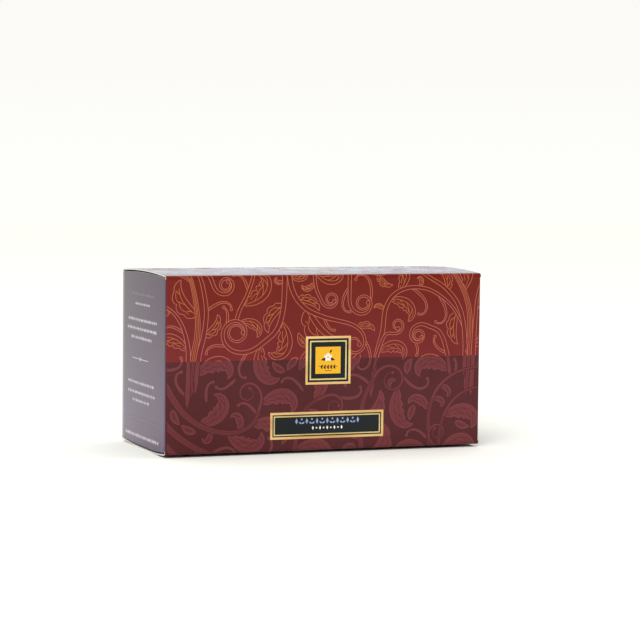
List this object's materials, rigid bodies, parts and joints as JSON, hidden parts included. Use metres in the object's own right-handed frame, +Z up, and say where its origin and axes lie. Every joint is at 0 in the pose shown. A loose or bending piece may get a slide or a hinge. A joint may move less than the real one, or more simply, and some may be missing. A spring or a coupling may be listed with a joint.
{
  "type": "tea box",
  "caption": "Shut tuck-end carton for enveloped tea bags, lying on its long side, with a crowned top and an end closure at each end.",
  "frame": {"origin": "middle of the flat strip on the underside that the carton rests on", "axes": "+X along the carton, -Y out of the front panel, +Z up"},
  "size_m": [0.1494, 0.066, 0.0799],
  "materials": {
    "printed_board": "gloss varnished deep red and burgundy print",
    "closure_print": "gloss varnished dark plum print",
    "raw_board": "unprinted white board at cut edges and folds",
    "scroll_ink": "orange gold line print",
    "leaf_ink": "maroon tone on tone print",
    "gold_foil": "stamped gold foil",
    "label_ink": "blue black print",
    "yellow_ink": "warm yellow print",
    "pale_ink": "pale print"
  },
  "bodies": {
    "root": {"carton": "printed_board"}
  },
  "joints": []
}
